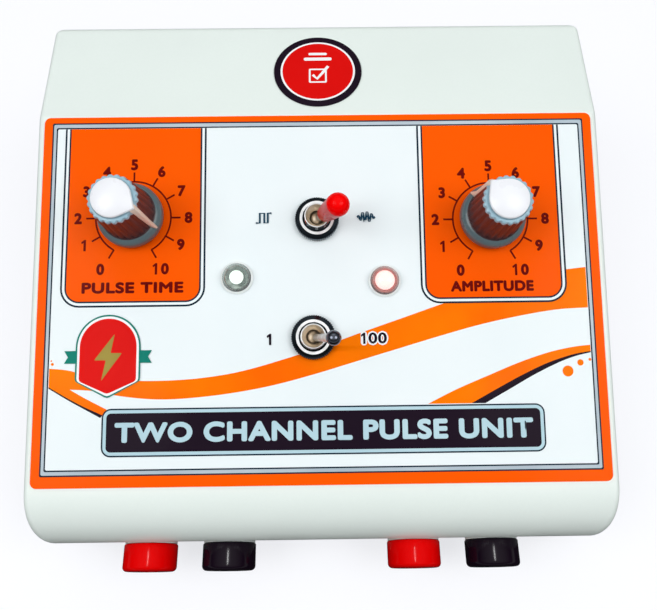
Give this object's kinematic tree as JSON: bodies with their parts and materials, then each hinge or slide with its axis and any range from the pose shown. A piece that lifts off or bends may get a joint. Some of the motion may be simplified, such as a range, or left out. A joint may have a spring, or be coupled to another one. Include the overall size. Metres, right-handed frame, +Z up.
{
  "type": "electrotherapy stimulator",
  "caption": "Desktop electrotherapy stimulator with a sloping printed panel, ribbed dials, toggle switches, indicator lamps and front output sockets.",
  "frame": {"origin": "centre of the footprint box, at the level of the surface that the feet stand on", "axes": "+Z up, +X to the right of someone facing the sockets, +Y to the back; the sockets face -Y and the panel slopes down to the front at 16 degrees"},
  "size_m": [0.14, 0.1436, 0.0751],
  "materials": {
    "case_ivory": "off-white moulded plastic, fine texture",
    "label_print": "printed label, orange, white and dark lines",
    "sticker_print": "printed round sticker",
    "foot_rubber": "black rubber",
    "screw_steel": "plated steel",
    "bright_metal": "plated metal",
    "chrome": "polished",
    "nickel_brass": "nickel-plated brass",
    "knob_grey": "dark grey ribbed plastic",
    "cap_white": "pale plastic",
    "red_plastic": "glossy red plastic",
    "black_plastic": "glossy black plastic",
    "switch_blue": "phenolic switch body",
    "clear_lens": "clear lens",
    "pink_lens": "pink lens",
    "board_green": "solder-masked board",
    "capacitor_sleeve": "shrink sleeve",
    "transformer_tape": "yellow tape",
    "lamination_steel": "steel laminations",
    "winding_tape": "winding under tape",
    "fuse_metal": "fuse, metal ends"
  },
  "bodies": {
    "case": {"top_cover": "case_ivory", "base_tray": "case_ivory", "front_label": "label_print", "round_sticker": "sticker_print", "mains_inlet": "black_plastic", "fuse_holder": "black_plastic", "power_switch_housing": "black_plastic", "circuit_board": "board_green", "smoothing_capacitor": "capacitor_sleeve", "output_transformer": "transformer_tape", "transformer_core": "lamination_steel", "transformer_winding": "winding_tape", "power_lamp_lens": "clear_lens", "power_lamp_led": "clear_lens", "pulse_lamp_lens": "pink_lens", "pulse_lamp_led": "pink_lens", "rubber_foot_front_left": "foot_rubber", "case_screw_front_left": "screw_steel", "rubber_foot_front_right": "foot_rubber", "case_screw_front_right": "screw_steel", "rubber_foot_rear_left": "foot_rubber", "case_screw_rear_left": "screw_steel", "rubber_foot_rear_right": "foot_rubber", "case_screw_rear_right": "screw_steel", "duration_pot_can": "bright_metal", "duration_pot_bushing": "bright_metal", "duration_pot_nut": "bright_metal", "intensity_pot_can": "bright_metal", "intensity_pot_bushing": "bright_metal", "intensity_pot_nut": "bright_metal", "mode_toggle_housing": "switch_blue", "mode_toggle_bushing": "chrome", "mode_toggle_nut": "chrome", "rate_toggle_housing": "switch_blue", "rate_toggle_bushing": "chrome", "rate_toggle_nut": "chrome", "socket_a_red_head": "red_plastic", "socket_a_red_barrel": "nickel_brass", "socket_a_red_nut": "nickel_brass", "socket_a_black_head": "black_plastic", "socket_a_black_barrel": "nickel_brass", "socket_a_black_nut": "nickel_brass", "socket_b_red_head": "red_plastic", "socket_b_red_barrel": "nickel_brass", "socket_b_red_nut": "nickel_brass", "socket_b_black_head": "black_plastic", "socket_b_black_barrel": "nickel_brass", "socket_b_black_nut": "nickel_brass"},
    "duration_dial": {"duration_knob": "knob_grey", "duration_knob_cap": "cap_white", "duration_pot_shaft": "bright_metal"},
    "intensity_dial": {"intensity_knob": "knob_grey", "intensity_knob_cap": "cap_white", "intensity_pot_shaft": "bright_metal"},
    "mode_lever": {"mode_toggle_lever": "chrome", "mode_toggle_cap": "red_plastic"},
    "rate_lever": {"rate_toggle_lever": "chrome"},
    "power_rocker": {"power_switch_rocker": "black_plastic"},
    "fuse_link": {"fuse": "fuse_metal"},
    "fuse_turn_cap": {"fuse_cap": "black_plastic"}
  },
  "joints": [
    {"name": "duration_dial_turn", "type": "hinge", "parent": "case", "child": "duration_dial", "pos_m": [-0.0454, 0.00757, 0.05593], "axis": [0, -0.2756, 0.9613], "range_deg": [-33, 267]},
    {"name": "intensity_dial_turn", "type": "hinge", "parent": "case", "child": "intensity_dial", "pos_m": [0.0418, 0.00641, 0.0556], "axis": [0, -0.2756, 0.9613], "range_deg": [-194, 106]},
    {"name": "mode_lever_flip", "type": "hinge", "parent": "case", "child": "mode_lever", "pos_m": [-0.0006, 0.00636, 0.05652], "axis": [0, 0.9613, 0.2756], "range_deg": [-40, 0]},
    {"name": "rate_lever_flip", "type": "hinge", "parent": "case", "child": "rate_lever", "pos_m": [-0.0017, -0.02133, 0.04858], "axis": [0.2419, 0.9327, 0.2675], "range_deg": [-40, 0]},
    {"name": "power_rocker_tilt", "type": "hinge", "parent": "case", "child": "power_rocker", "pos_m": [0.03, 0.06185, 0.0315], "axis": [1, 0, 0], "range_deg": [-18, 0]},
    {"name": "fuse_draw", "type": "slide", "parent": "case", "child": "fuse_link", "axis": [0, 1, 0], "range_m": [0, 0.022]},
    {"name": "fuse_cap_turn", "type": "hinge", "parent": "fuse_link", "child": "fuse_turn_cap", "pos_m": [-0.008, 0.06335, 0.0315], "axis": [0, 1, 0], "range_deg": [0, 60]}
  ]
}
